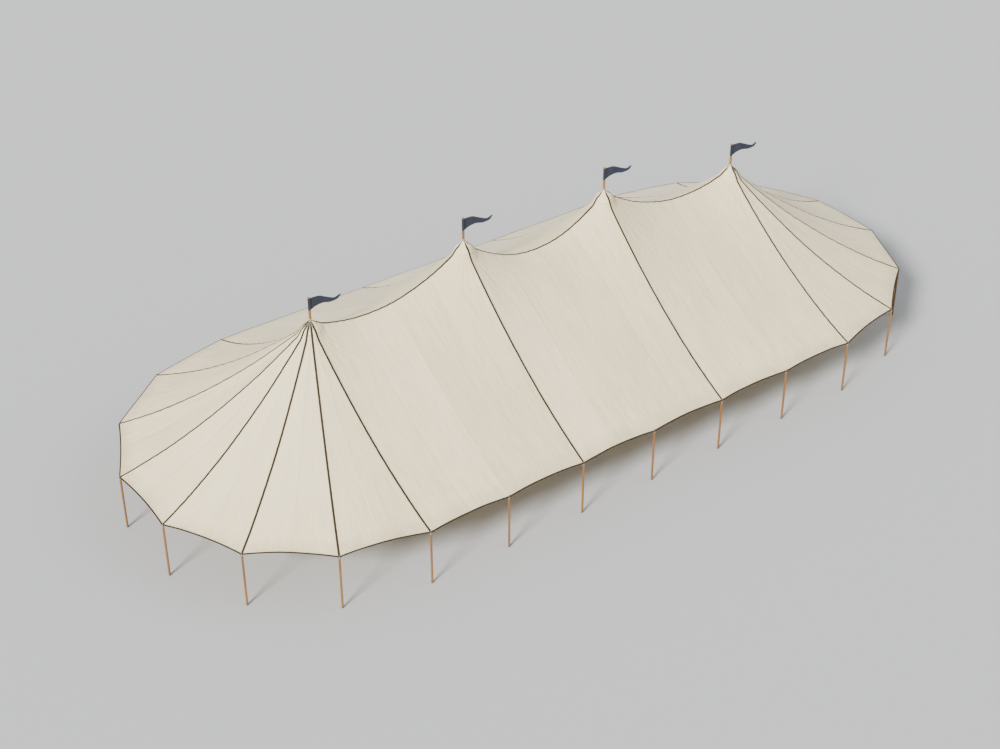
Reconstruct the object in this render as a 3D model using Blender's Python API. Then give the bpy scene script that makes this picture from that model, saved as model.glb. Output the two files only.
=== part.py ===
"""A long sailcloth pole tent: four centre poles in a row, a ring of side poles, a canopy of five sections and
four pennants that turn on the pole heads. Metres, +Z up, +X along the row, the origin on the ground at the middle."""

import math

import bmesh
import bpy
from mathutils import Matrix, Vector

# Driving dimensions
HALF_WIDTH = 6.706            # from the row of centre poles to the side poles, for a tent 44 ft wide
CENTRE_SPACING = 6.01         # from one centre pole to the next
CENTRE_POLES = 4
END_SECTORS = 7               # bays round each half-round end
SIDE_POLE_HEIGHT = 2.134      # 7 ft to the top of the pin
EAVE_HEIGHT = 2.085           # top of the canopy at a side pole
OUTER_PEAK = 6.29             # canopy height at the first and last centre poles
INNER_PEAK = 7.19
OUTER_POLE_TOP = 7.23
INNER_POLE_TOP = 8.13

# Curves of the canopy
SEAM_SAG = 0.465              # how far a seam hangs below the straight line from peak to eave
OUTER_RIDGE_SAG = 0.84        # the same for the ridge between an outer and an inner peak
INNER_RIDGE_SAG = 1.28        # and for the ridge between the two inner peaks
EAVE_PULL = 0.055             # how far the eave curves in between two side poles
END_EAVE_LIFT = 0.055         # how far the cloth stands above the line from pole to pole, in an end bay
SIDE_EAVE_LIFT = 0.034        # the same in a bay of a middle section
PILLOW = 0.22                 # how far a middle section stands proud between its seams

# Canopy details
CLOTH_DROP = 0.015            # upright thickness of the canopy
EAVE_MARGIN = 0.035           # cloth outside the pin
HEM_WIDTH = 0.10
PEAK_HOLE = 0.052             # radius of the hole that a centre pole comes through
CROWN_RADIUS = 0.11           # the canopy is level out to here, where it rests on its ring
CROWN_DROP = 0.07             # from the peak of the curves down to that level
CROWN_BLEND = 0.50            # radius at which the canopy follows its curves again
RAY_STEPS = 7                 # steps from crown to hem
STEP_GROWTH = 1.35            # steps grow outwards by this power
BAY_STEPS = 3                 # steps along the eave in one bay
MIDLINE_STEPS = 5             # steps along the line halfway between two centre poles

# Poles, rings and pennants
SIDE_POLE_RADIUS = 0.0375
CENTRE_POLE_RADIUS = 0.045
POLE_CHAMFER = 0.006
PIN_RADIUS = 0.010
PIN_HOLE_RADIUS = 0.012
PIN_TIP = 0.004
HEAD_SLOPE = 0.62             # the pole head falls away from the pin more steeply than the canopy
NECK_RADIUS = 0.040           # turned neck that a pennant's sleeve goes round
BEAD_HEIGHT = 0.020           # bead at the pole's top, which keeps the sleeve on
SLEEVE_HEIGHT = 0.45
SLEEVE_INNER = 0.043
SLEEVE_OUTER = 0.0465
SLEEVE_PLAY = 0.005           # free space between the sleeve and the bead
PENNANT_LENGTH = 1.11
PENNANT_TURN = math.radians(-10.0)
PENNANT_THICKNESS = 0.006
PENNANT_WAVE = 0.085
PENNANT_SWAY = 0.04
PENNANT_RISE = 0.065
PENNANT_STEPS = 12
RING_FLANGE_RADIUS = 0.10
RING_FLANGE_THICKNESS = 0.010
RING_HUB_RADIUS = 0.062
RING_HUB_HEIGHT = 0.080
GAP = 0.0003                  # space between pieces that touch
SIDE_POLE_SIDES = 12
CENTRE_POLE_SIDES = 20
HOLE_SIDES = 12


def remove_everything():
    """Empties the scene."""
    for thing in list(bpy.data.objects):
        bpy.data.objects.remove(thing, do_unlink=True)


def material(name, colour, roughness, metallic=0.0):
    """A plain surface with its colour, roughness and metallic value."""
    made = bpy.data.materials.new(name)
    made.use_nodes = True
    shader = made.node_tree.nodes["Principled BSDF"]
    shader.inputs["Base Color"].default_value = (*colour, 1.0)
    shader.inputs["Roughness"].default_value = roughness
    shader.inputs["Metallic"].default_value = metallic
    return made


def add_object(name, work, finish):
    """Turns a bmesh into a named object with one material."""
    mesh = bpy.data.meshes.new(name)
    work.to_mesh(mesh)
    work.free()
    mesh.materials.append(finish)
    made = bpy.data.objects.new(name, mesh)
    bpy.context.scene.collection.objects.link(made)
    return made


def turned(name, profile, sides, finish, closed=False):
    """Spins a profile of (radius, height) points round the Z axis. A closed profile makes a ring."""
    work = bmesh.new()
    verts = [work.verts.new((radius, 0.0, height)) for radius, height in profile]
    pairs = list(zip(verts, verts[1:]))
    if closed:
        pairs.append((verts[-1], verts[0]))
    edges = [work.edges.new(pair) for pair in pairs]
    bmesh.ops.spin(work, geom=verts + edges, axis=(0, 0, 1), cent=(0, 0, 0), angle=math.tau, steps=sides,
                   use_merge=True)
    bmesh.ops.remove_doubles(work, verts=work.verts, dist=1e-6)
    bmesh.ops.recalc_face_normals(work, faces=work.faces)
    made = add_object(name, work, finish)
    made.data.shade_smooth()
    made.data.set_sharp_from_angle(angle=math.radians(35.0))
    return made


# The plan of the tent

def peak_x(index):
    """Where centre pole 0, 1, 2 or 3 stands along the row."""
    return (index - (CENTRE_POLES - 1) / 2) * CENTRE_SPACING


def peak_height(index):
    """The inner peaks are higher than the two at the ends."""
    return OUTER_PEAK if index in (0, CENTRE_POLES - 1) else INNER_PEAK


def pole_top(index):
    return OUTER_POLE_TOP if index in (0, CENTRE_POLES - 1) else INNER_POLE_TOP


def side_pole_places():
    """Side poles in order, from the left tip of the tent along its near side and back along its far side."""
    half_sector = math.pi / END_SECTORS / 2
    bay = CENTRE_SPACING / 2
    straight = 2 * (CENTRE_POLES - 1) + 1
    places = []
    for step in range(END_SECTORS // 2 + 1, 1, -1):
        turn = -math.pi / 2 - (step - 1) * 2 * half_sector
        places.append((peak_x(0) + HALF_WIDTH * math.cos(turn), HALF_WIDTH * math.sin(turn)))
    places += [(peak_x(0) + step * bay, -HALF_WIDTH) for step in range(straight)]
    for step in range(1, END_SECTORS):
        turn = -math.pi / 2 + step * 2 * half_sector
        places.append((peak_x(CENTRE_POLES - 1) + HALF_WIDTH * math.cos(turn), HALF_WIDTH * math.sin(turn)))
    places += [(peak_x(CENTRE_POLES - 1) - step * bay, HALF_WIDTH) for step in range(straight)]
    for step in range(1, END_SECTORS // 2 + 1):
        turn = math.pi / 2 + step * 2 * half_sector
        places.append((peak_x(0) + HALF_WIDTH * math.cos(turn), HALF_WIDTH * math.sin(turn)))
    return places


# The heights of the canopy

def bump(share):
    """0 at both ends of a stretch and 1 in its middle."""
    return 4 * share * (1 - share)


def smooth_step(share):
    share = min(max(share, 0.0), 1.0)
    return share * share * (3 - 2 * share)


def seam_height(peak, share):
    """A seam from a peak, at share 0, to the eave, at share 1: a straight line with a parabola hung below it."""
    return peak + (EAVE_HEIGHT - peak) * share - SEAM_SAG * bump(share)


def end_sector(angle):
    """How far a direction lies from its bay's middle, from -1 at one seam to 1 at the next, and the angle itself."""
    sector = math.pi / END_SECTORS
    from_seam = (angle - math.pi / 2) / sector
    off_middle = (from_seam - math.floor(from_seam) - 0.5) * sector
    return math.tan(off_middle) / math.tan(sector / 2), off_middle


def end_height(x, y, index):
    """In an end, lines level with each other run straight from seam to seam, and the cloth lifts above them."""
    offset = x - peak_x(index)
    across, off_middle = end_sector(math.atan2(y, -abs(offset)))
    reach = math.hypot(offset, y) * math.cos(off_middle) / math.cos(math.pi / END_SECTORS / 2)
    share = reach / HALF_WIDTH
    lift = END_EAVE_LIFT * share * share * (1 - across * across)
    return seam_height(peak_height(index), share) + lift


def middle_height(x, y, index):
    """Between two centre poles the two seams are joined by a saddle that hangs down along the ridge."""
    along = (x - peak_x(index)) / CENTRE_SPACING
    share = abs(y) / HALF_WIDTH
    pull = math.pi * HALF_WIDTH / CENTRE_SPACING
    outer = index in (0, CENTRE_POLES - 2)
    sag = OUTER_RIDGE_SAG if outer else INNER_RIDGE_SAG
    seams = (1 - along) * seam_height(peak_height(index), share) + along * seam_height(peak_height(index + 1), share)
    hang = sag * bump(along) * math.sinh(pull * (1 - share)) / math.sinh(pull)
    pillow = PILLOW * bump(along) * (1 - math.cosh(pull * (share - 0.5)) / math.cosh(pull / 2))
    lift = SIDE_EAVE_LIFT * bump((2 * along) % 1.0) * share ** 7
    return seams - hang + pillow + lift


def canopy_height(x, y):
    """Top of the canopy at a place on the plan, level round each centre pole."""
    if abs(x) >= peak_x(CENTRE_POLES - 1):
        height = end_height(x, y, 0 if x < 0 else CENTRE_POLES - 1)
    else:
        height = middle_height(x, y, min(int((x - peak_x(0)) / CENTRE_SPACING), CENTRE_POLES - 2))
    nearest = min(range(CENTRE_POLES), key=lambda index: abs(x - peak_x(index)))
    distance = math.hypot(x - peak_x(nearest), y)
    crown = peak_height(nearest) - CROWN_DROP
    blend = smooth_step((distance - CROWN_RADIUS) / (CROWN_BLEND - CROWN_RADIUS))
    return crown + (height - crown) * blend


# The canopy's sections, each made of rays that leave a peak

def end_rims(index):
    """Points on the eave of an end, from one straight-across seam round to the other, with their hem widths."""
    side = -1 if index == 0 else 1
    sector = math.pi / END_SECTORS
    rims = []
    for step in range(END_SECTORS * BAY_STEPS + 1):
        share = step / BAY_STEPS % 1.0
        turn = math.pi / 2 + sector * step / BAY_STEPS
        off_middle = (share - 0.5) * sector
        reach = HALF_WIDTH * math.cos(sector / 2) / math.cos(off_middle) + EAVE_MARGIN - EAVE_PULL * bump(share)
        rims.append((peak_x(index) - side * reach * math.cos(turn), reach * math.sin(turn), HEM_WIDTH))
    return rims


def quarter_rims(index, toward, side):
    """Far points of the rays of a quarter of a middle section: along its middle line, then along its eave."""
    half = CENTRE_SPACING / 2
    edge = HALF_WIDTH + EAVE_MARGIN
    rims = []
    for step in range(MIDLINE_STEPS):
        y = edge * step / MIDLINE_STEPS
        length = math.hypot(half, y)
        rims.append((peak_x(index) + toward * half, side * y, (length - CROWN_RADIUS) / RAY_STEPS))
    for step in range(BAY_STEPS + 1):
        share = step / BAY_STEPS
        y = edge - EAVE_PULL * bump(share)
        rims.append((peak_x(index) + toward * half * (1 - share), side * y, HEM_WIDTH))
    return rims


def ray(index, rim):
    """Points from the hole at a peak out to a far point: the crown's edge, growing steps and the hem."""
    x, y, hem = rim
    direction = Vector((x - peak_x(index), y))
    length = direction.length
    direction.normalize()
    reaches = [PEAK_HOLE]
    for step in range(RAY_STEPS + 1):
        reaches.append(CROWN_RADIUS + (length - hem - CROWN_RADIUS) * (step / RAY_STEPS) ** STEP_GROWTH)
    reaches.append(length)
    return [(peak_x(index) + reach * direction.x, reach * direction.y) for reach in reaches]


def fan(work, index, rims, low_x, high_x):
    """Fills the rays of one peak with faces, kept a hair inside the section's two ends."""
    rows = []
    for rim in rims:
        row = []
        for x, y in ray(index, rim):
            height = canopy_height(x, y)
            row.append(work.verts.new((min(max(x, low_x), high_x), y, height)))
        rows.append(row)
    for first, second in zip(rows, rows[1:]):
        for step in range(len(first) - 1):
            work.faces.new((first[step], first[step + 1], second[step + 1], second[step]))


def pin_cutter(places):
    """Upright cylinders where the side poles' pins come through the canopy."""
    work = bmesh.new()
    for x, y in places:
        middle = Matrix.Translation((x, y, EAVE_HEIGHT))
        bmesh.ops.create_cone(work, cap_ends=True, segments=HOLE_SIDES, radius1=PIN_HOLE_RADIUS,
                              radius2=PIN_HOLE_RADIUS, depth=0.2, matrix=middle)
    mesh = bpy.data.meshes.new("pin_holes")
    work.to_mesh(mesh)
    work.free()
    cutter = bpy.data.objects.new("pin_holes", mesh)
    cutter.hide_render = True
    cutter.display_type = "WIRE"
    bpy.context.scene.collection.objects.link(cutter)
    return cutter


def canopy_section(name, fans, low_x, high_x, cutter, finish):
    """One sheet of the canopy: its fans joined, given their thickness downwards, with a hole at each pin."""
    work = bmesh.new()
    for index, rims in fans:
        fan(work, index, rims, low_x, high_x)
    bmesh.ops.remove_doubles(work, verts=work.verts, dist=1e-5)
    bmesh.ops.triangulate(work, faces=work.faces)
    grown = bmesh.ops.extrude_face_region(work, geom=work.faces[:])
    lower = [piece for piece in grown["geom"] if isinstance(piece, bmesh.types.BMVert)]
    bmesh.ops.translate(work, verts=lower, vec=(0, 0, -CLOTH_DROP))
    bmesh.ops.recalc_face_normals(work, faces=work.faces)
    made = add_object(name, work, finish)
    made.data.shade_smooth()
    made.data.set_sharp_from_angle(angle=math.radians(35.0))
    holes = made.modifiers.new("holes", "BOOLEAN")
    holes.operation = "DIFFERENCE"
    holes.object = cutter
    return made


def build_canopy(places, finish):
    """Two half-round ends and the middle sections between them."""
    cutter = pin_cutter(places)
    last = CENTRE_POLES - 1
    seam = GAP / 2
    canopy_section("canopy_left_end", [(0, end_rims(0))], -100.0, peak_x(0) - seam, cutter, finish)
    for index in range(last):
        quarters = [(index, quarter_rims(index, 1, side)) for side in (-1, 1)]
        quarters += [(index + 1, quarter_rims(index + 1, -1, side)) for side in (-1, 1)]
        canopy_section(f"canopy_middle_{index + 1}", quarters, peak_x(index) + seam, peak_x(index + 1) - seam,
                       cutter, finish)
    canopy_section("canopy_right_end", [(last, end_rims(last))], peak_x(last) + seam, 100.0, cutter, finish)


# Poles and rings

def side_pole(name, x, y, finish):
    """A round pole with a head that falls away from its pin, placed so that the canopy rests on it."""
    nearest = min(max(x, peak_x(0)), peak_x(CENTRE_POLES - 1))
    outward = Vector((x - nearest, y)).normalized()
    rest = canopy_height(x + PIN_HOLE_RADIUS * outward.x, y + PIN_HOLE_RADIUS * outward.y) - CLOTH_DROP - GAP
    head = rest + HEAD_SLOPE * (PIN_HOLE_RADIUS - PIN_RADIUS)
    shoulder = head - HEAD_SLOPE * (SIDE_POLE_RADIUS - PIN_RADIUS)
    profile = [
        (0.0, 0.0),
        (SIDE_POLE_RADIUS - POLE_CHAMFER, 0.0),
        (SIDE_POLE_RADIUS, POLE_CHAMFER),
        (SIDE_POLE_RADIUS, shoulder),
        (PIN_RADIUS, head),
        (PIN_RADIUS, SIDE_POLE_HEIGHT - PIN_TIP),
        (PIN_RADIUS - PIN_TIP, SIDE_POLE_HEIGHT),
        (0.0, SIDE_POLE_HEIGHT),
    ]
    made = turned(name, profile, SIDE_POLE_SIDES, finish)
    made.location = (x, y, 0.0)
    return made


def neck_bottom(index):
    """Shoulder on a centre pole that the pennant's sleeve rests on."""
    return pole_top(index) - BEAD_HEIGHT - SLEEVE_PLAY - SLEEVE_HEIGHT - GAP


def centre_pole(name, index, finish):
    """A tall round pole with a turned neck and a bead at its top for the pennant."""
    top = pole_top(index)
    profile = [
        (0.0, 0.0),
        (CENTRE_POLE_RADIUS - POLE_CHAMFER, 0.0),
        (CENTRE_POLE_RADIUS, POLE_CHAMFER),
        (CENTRE_POLE_RADIUS, neck_bottom(index)),
        (NECK_RADIUS, neck_bottom(index)),
        (NECK_RADIUS, top - BEAD_HEIGHT),
        (CENTRE_POLE_RADIUS, top - BEAD_HEIGHT),
        (CENTRE_POLE_RADIUS, top - POLE_CHAMFER),
        (CENTRE_POLE_RADIUS - POLE_CHAMFER, top),
        (0.0, top),
    ]
    made = turned(name, profile, CENTRE_POLE_SIDES, finish)
    made.location = (peak_x(index), 0.0, 0.0)
    return made


def peak_ring(name, index, finish):
    """A collar on the centre pole whose flange carries the canopy's crown."""
    top = peak_height(index) - CROWN_DROP - CLOTH_DROP - GAP
    bore = CENTRE_POLE_RADIUS + GAP
    profile = [
        (bore, top),
        (bore, top - RING_HUB_HEIGHT),
        (RING_HUB_RADIUS, top - RING_HUB_HEIGHT),
        (RING_HUB_RADIUS, top - RING_FLANGE_THICKNESS),
        (RING_FLANGE_RADIUS, top - RING_FLANGE_THICKNESS),
        (RING_FLANGE_RADIUS, top),
    ]
    made = turned(name, profile, CENTRE_POLE_SIDES, finish, closed=True)
    made.location = (peak_x(index), 0.0, 0.0)
    return made


# Pennants

def pennant_blade(work):
    """A long three-cornered flag along +X that sways in the wind, its tip curling up. Height 0 is the hoist's top."""
    rows = []
    start = (SLEEVE_INNER + SLEEVE_OUTER) / 2
    tip_half = 0.012
    for step in range(PENNANT_STEPS + 1):
        share = step / PENNANT_STEPS
        reach = start + (PENNANT_LENGTH - start) * share
        sway = PENNANT_WAVE * share * math.sin(1.1 * math.tau * share)
        middle = -SLEEVE_HEIGHT / 2 + PENNANT_RISE * share + PENNANT_SWAY * math.sin(math.tau * share)
        half = tip_half + (SLEEVE_HEIGHT / 2 - 0.006 - tip_half) * (1 - share)
        corners = []
        for across, upright in ((-1, -1), (1, -1), (1, 1), (-1, 1)):
            place = (reach, sway + across * PENNANT_THICKNESS / 2, middle + upright * half)
            corners.append(work.verts.new(place))
        rows.append(corners)
    for first, second in zip(rows, rows[1:]):
        for corner in range(4):
            following = (corner + 1) % 4
            work.faces.new((first[corner], first[following], second[following], second[corner]))
    work.faces.new(rows[0])
    work.faces.new(rows[-1])
    bmesh.ops.recalc_face_normals(work, faces=work.faces)


def pennant(name, index, finish):
    """A sleeve round the pole's neck with the flag joined to it, turning about the pole's axis."""
    hoist_top = neck_bottom(index) + GAP + SLEEVE_HEIGHT
    profile = [
        (SLEEVE_INNER, 0.0),
        (SLEEVE_INNER, -SLEEVE_HEIGHT),
        (SLEEVE_OUTER, -SLEEVE_HEIGHT),
        (SLEEVE_OUTER, 0.0),
    ]
    sleeve = turned(name, profile, CENTRE_POLE_SIDES, finish, closed=True)
    work = bmesh.new()
    pennant_blade(work)
    mesh = bpy.data.meshes.new(f"{name}_blade")
    work.to_mesh(mesh)
    work.free()
    blade = bpy.data.objects.new(f"{name}_blade", mesh)
    blade.hide_render = True
    blade.display_type = "WIRE"
    bpy.context.scene.collection.objects.link(blade)
    joined = sleeve.modifiers.new("blade", "BOOLEAN")
    joined.operation = "UNION"
    joined.object = blade
    for piece in (sleeve, blade):
        piece.location = (peak_x(index), 0.0, hoist_top)
        piece.rotation_euler = (0.0, 0.0, PENNANT_TURN)
    return sleeve


def build():
    remove_everything()
    wood = material("varnished_wood", (0.42, 0.25, 0.12), 0.45)
    steel = material("galvanised_steel", (0.55, 0.56, 0.57), 0.40, 1.0)
    sailcloth = material("sailcloth", (0.83, 0.80, 0.72), 0.80)
    bunting = material("pennant_cloth", (0.04, 0.07, 0.16), 0.80)
    places = side_pole_places()
    for number, (x, y) in enumerate(places, start=1):
        side_pole(f"side_pole_{number:02d}", x, y, wood)
    for index in range(CENTRE_POLES):
        centre_pole(f"centre_pole_{index + 1}", index, wood)
        peak_ring(f"peak_ring_{index + 1}", index, steel)
        pennant(f"pennant_{index + 1}", index, bunting)
    build_canopy(places, sailcloth)


build()
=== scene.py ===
# %% [markdown]
# A sailcloth pole tent, finished in Blender. The construction fixes where its poles stand, how high its peaks
# are and how the canopy curves, and this lesson dresses it. Each step says what the piece is on the real
# tent, how it could be made, and why one way was picked. All sizes are metres.

import math

import bpy
import numpy as np
from mathutils import Matrix, Vector


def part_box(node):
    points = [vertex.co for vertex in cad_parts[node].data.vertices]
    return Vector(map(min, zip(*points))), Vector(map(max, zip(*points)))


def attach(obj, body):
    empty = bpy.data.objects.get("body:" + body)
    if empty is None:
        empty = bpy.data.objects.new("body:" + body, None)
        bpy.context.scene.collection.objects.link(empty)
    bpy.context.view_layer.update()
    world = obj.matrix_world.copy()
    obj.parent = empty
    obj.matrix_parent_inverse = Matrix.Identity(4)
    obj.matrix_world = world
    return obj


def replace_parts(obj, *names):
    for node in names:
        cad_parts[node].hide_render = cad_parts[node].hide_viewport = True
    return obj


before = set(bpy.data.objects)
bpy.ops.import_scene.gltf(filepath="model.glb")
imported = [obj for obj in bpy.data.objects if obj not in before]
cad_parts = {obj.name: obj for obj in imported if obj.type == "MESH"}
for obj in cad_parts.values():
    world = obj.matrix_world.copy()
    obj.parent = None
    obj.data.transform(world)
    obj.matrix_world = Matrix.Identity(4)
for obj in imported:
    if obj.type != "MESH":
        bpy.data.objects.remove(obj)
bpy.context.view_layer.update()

# %% [markdown]
# The poles stand where the construction has them. Their places and heights and the height of the canopy's
# crowns are read from it, so that nothing is measured twice.

# %% Read the poles' places and heights
CENTRE_POLES = 4
SIDE_POLES = 26
END_BAYS = 7
CROWN_DROP = 0.07


def places_of(names):
    """The nodes' middles on the plan: half of lowest corner plus highest corner."""
    return np.array([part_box(name) for name in names], float)[:, :, :2].mean(1)


CENTRE_NAMES, RING_NAMES = [[f"{kind}_{number + 1}" for number in range(CENTRE_POLES)]
                            for kind in ("centre_pole", "peak_ring")]
SIDE_NAMES = [f"side_pole_{number + 1:02d}" for number in range(SIDE_POLES)]
PEAK_PLACES, SIDE_PLACES = places_of(CENTRE_NAMES), places_of(SIDE_NAMES)
PEAK_X = PEAK_PLACES[:, 0]
POLE_TOPS = [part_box(name)[1].z for name in CENTRE_NAMES]
PIN_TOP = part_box(SIDE_NAMES[0])[1].z
HALF_WIDTH = SIDE_PLACES[:, 1].max()
SPACING = PEAK_X[1] - PEAK_X[0]
CROWN_TOPS = np.array([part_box(f"canopy_{part}")[1].z for part in ("left_end", "middle_2")])[[0, 1, 1, 0]]
PEAKS = CROWN_TOPS + CROWN_DROP
print("peaks at x", PEAK_X.round(3), "heights", PEAKS.round(3), "half width", round(HALF_WIDTH, 3))

# %% [markdown]
# The canopy is one taut sheet. Its seams hang in shallow curves from the peaks to the eave, and the ridge
# hangs deep between two peaks. Such a sheet could be drawn by hand, relaxed by a cloth solver, or worked out.
# Here it is worked out, with the construction's own sags and lifts, so that the cloth meets each pole
# exactly.

# %% Simple curves, and where a place lies on the plan
SECTOR = math.pi / END_BAYS


def bump(share):
    """Four times share times one less share: 0 at both ends of a stretch and 1 in its middle."""
    return 4 * share * (1 - share)


def smooth_step(share):
    """Three shares squared less two shares cubed, held between 0 and 1."""
    share = np.clip(share, 0.0, 1.0)
    return share * share * (3 - 2 * share)


def spot(place, reach, turn):
    """A place plus the reach times the cosine and the sine of the turn."""
    return place[0] + reach * np.cos(turn), place[1] + reach * np.sin(turn)


def polar(x, y, place):
    """Distance from a place by the root of the squares, and direction by the arc tangent."""
    return np.hypot(x - place[0], y - place[1]), np.arctan2(y - place[1], x - place[0])


def in_bay(x, y):
    """Whether a place is beyond the last peak, its distance from that peak, its share of the way round its
    bay from straight across, and the angle off the bay's middle."""
    beyond = np.abs(x) - PEAK_X[-1]
    share = np.mod(np.arctan2(y, np.maximum(beyond, 0.0)) / SECTOR + END_BAYS / 2, 1.0)
    return beyond >= 0, np.hypot(beyond, y), share, (share - 0.5) * SECTOR


def in_section(x):
    """Number of the middle section that a place lies in, and its share of the way along it."""
    section = np.clip(((x - PEAK_X[0]) / SPACING).astype(int), 0, CENTRE_POLES - 2)
    return section, (x - PEAK_X[section]) / SPACING


print("each end bay spans", round(math.degrees(SECTOR), 1), "degrees")

# %% Height of the canopy
EAVE_HEIGHT = 2.085
SEAM_SAG = 0.465
RIDGE_SAGS = np.array([0.84, 1.28, 0.84])
END_EAVE_LIFT = 0.055
SIDE_EAVE_LIFT = 0.034
PILLOW = 0.22
CROWN_RADIUS = 0.11
CROWN_BLEND = 0.50


def seam_height(peak, share):
    """A straight line from the peak to the eave, less the sag times the bump."""
    return peak + (EAVE_HEIGHT - peak) * share - SEAM_SAG * bump(share)


def end_height(x, y):
    """The seam's height at the distance along the bay's middle, over the cosine of half a bay, and a lift
    that grows as the share squared and falls to nothing at both seams."""
    beyond, reach, unused, off_middle = in_bay(x, y)
    share = reach * np.cos(off_middle) / math.cos(SECTOR / 2) / HALF_WIDTH
    across = np.tan(off_middle) / math.tan(SECTOR / 2)
    return seam_height(PEAKS[0], share) + END_EAVE_LIFT * share * share * (1 - across * across)


def middle_height(x, y):
    """The two seams mixed by the share of the way along, less the ridge's sag, which dies out to the eave as
    a hyperbolic sine, plus a pillow and a small lift at the eave."""
    section, along = in_section(x)
    share = np.abs(y) / HALF_WIDTH
    pull = math.pi * HALF_WIDTH / SPACING
    seams = (1 - along) * seam_height(PEAKS[section], share) + along * seam_height(PEAKS[section + 1], share)
    hang = RIDGE_SAGS[section] * bump(along) * np.sinh(pull * (1 - share)) / math.sinh(pull)
    pillow = PILLOW * bump(along) * (1 - np.cosh(pull * (share - 0.5)) / math.cosh(pull / 2))
    return seams - hang + pillow + SIDE_EAVE_LIFT * bump(np.mod(2 * along, 1.0)) * share ** 7


def canopy_height(x, y):
    """End or middle height, levelled out to the crown near each centre pole."""
    height = np.where(in_bay(x, y)[0], end_height(x, y), middle_height(x, y))
    reach = polar(x[..., None], y[..., None], PEAK_PLACES.T)[0]
    crown, beyond = CROWN_TOPS[reach.argmin(-1)], reach.min(-1) - CROWN_RADIUS
    return crown + (height - crown) * smooth_step(beyond / (CROWN_BLEND - CROWN_RADIUS))


probe = canopy_height(np.array([0.0, PEAK_X[0]]), np.array([0.0, -HALF_WIDTH]))
print("ridge at the tent's middle", probe[0].round(3), "eave at a side pole", probe[1].round(3))

# %% Distances on the plan to the seams and the eave
EAVE_MARGIN = 0.035
EAVE_PULL = 0.055


def bay_reach(share, off_middle):
    """From an outer peak to the scalloped edge: the chord plus a margin, less the pull times the bump."""
    return HALF_WIDTH * math.cos(SECTOR / 2) / np.cos(off_middle) + EAVE_MARGIN - EAVE_PULL * bump(share)


def side_reach(share):
    """From the ridge line to the scalloped edge: the same sum with the half width."""
    return HALF_WIDTH + EAVE_MARGIN - EAVE_PULL * bump(share)


def eave_and_seam(x, y):
    """Distance to the edge, in an end square to the chord, and to the nearest load-bearing seam: a ray in an
    end, a line across or along elsewhere."""
    beyond, reach, share, off_middle = in_bay(x, y)
    eave = np.where(beyond, (bay_reach(share, off_middle) - reach) * np.cos(off_middle),
                    side_reach(np.mod(2 * in_section(x)[1], 1.0)) - np.abs(y))
    seam = np.where(beyond, reach * np.sin(SECTOR * (0.5 - np.abs(share - 0.5))),
                    np.minimum(np.abs(x[..., None] - PEAK_X).min(-1), np.abs(y)))
    return eave, seam


print("the eave is drawn in by", EAVE_PULL, "between poles")

# %% [markdown]
# Cloth under strain is never quite smooth. Small folds fan out from each side pole's pin, pleats run down
# from each crown, and the cloth puckers beside a sewn seam. They are only millimetres deep, but they catch
# the light, so they are given to the shape itself and not only to the material.

# %% Folds, pleats, puckers and ripples
FOLDS_ROUND_PIN = 11
FOLD_DEPTH = 0.012
FOLD_REACH = 0.8
PIN_CALM = 0.12
PIN_BLEND = 0.65
PLEATS_ROUND_CROWN = 28
PLEAT_DEPTH = 0.010
PLEAT_REACH = 1.1
PLEAT_BLEND = 0.5
PUCKER_DEPTH = 0.005
PUCKER_PITCH = 0.38
PUCKER_REACH = 0.15
RIPPLE_DEPTH = 0.006
RIPPLE_BLEND = 0.9
CLOTH_TOP = -0.0115
CLOTH_THICKNESS = 0.0025


def relief(x, y):
    """Waves round the pins and crowns that die out with the distance, waves along the seams, and slow
    ripples. All end near a pin, so that the cloth lies on the pole's head."""
    reach, turn = polar(x[..., None], y[..., None], SIDE_PLACES.T)
    folds = np.exp(-reach / FOLD_REACH) * np.cos(FOLDS_ROUND_PIN * turn + 1.7 * np.arange(SIDE_POLES))
    held = smooth_step((reach - PIN_CALM) / PIN_BLEND).prod(-1)
    reach, turn = polar(x[..., None], y[..., None], PEAK_PLACES.T)
    strength = np.exp(-reach / PLEAT_REACH) * smooth_step((reach - CROWN_RADIUS) / PLEAT_BLEND)
    pleats = strength * np.cos(PLEATS_ROUND_CROWN * turn + np.arange(CENTRE_POLES))
    near_seam = np.exp(-(eave_and_seam(x, y)[1] / PUCKER_REACH) ** 2)
    wander = 2.0 * np.sin(3.1 * x + 2.3 * y)
    puckers = near_seam * np.cos(math.tau * in_bay(x, y)[1] / PUCKER_PITCH + wander)
    slow = np.sin(1.9 * x + 0.7 * y) * np.sin(1.3 * y - 0.6 * x) + 0.6 * np.sin(3.7 * x - 1.1 * y + 1.0)
    ripples = slow * smooth_step(reach.min(-1) / RIPPLE_BLEND)
    return held * (FOLD_DEPTH * folds.sum(-1) + PLEAT_DEPTH * pleats.sum(-1) + PUCKER_DEPTH * puckers
                   + RIPPLE_DEPTH * ripples)


def cloth_top(x, y):
    """Upper face of the cloth, in the lower part of its room, so that its underside rests on the poles."""
    return canopy_height(x, y) + CLOTH_TOP + relief(x, y)


probe = relief(*np.meshgrid(np.linspace(-12.0, 12.0, 60), np.linspace(-5.0, 5.0, 30)))
print("folds rise", probe.max().round(4), "and sink", -probe.min().round(4))

# %% [markdown]
# Every piece below is a grid of points worked out with whole numpy arrays. Its faces are the squares between
# four neighbours, and a grid may close on itself in either direction, as a tube does.

# %% Helpers that turn grids into closed surfaces
def table(*columns):
    """Numbers on a grid, stretched to one size, as the columns of a table with a row for each point."""
    return np.stack(np.broadcast_arrays(*columns), -1).reshape(-1, len(columns))


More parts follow.
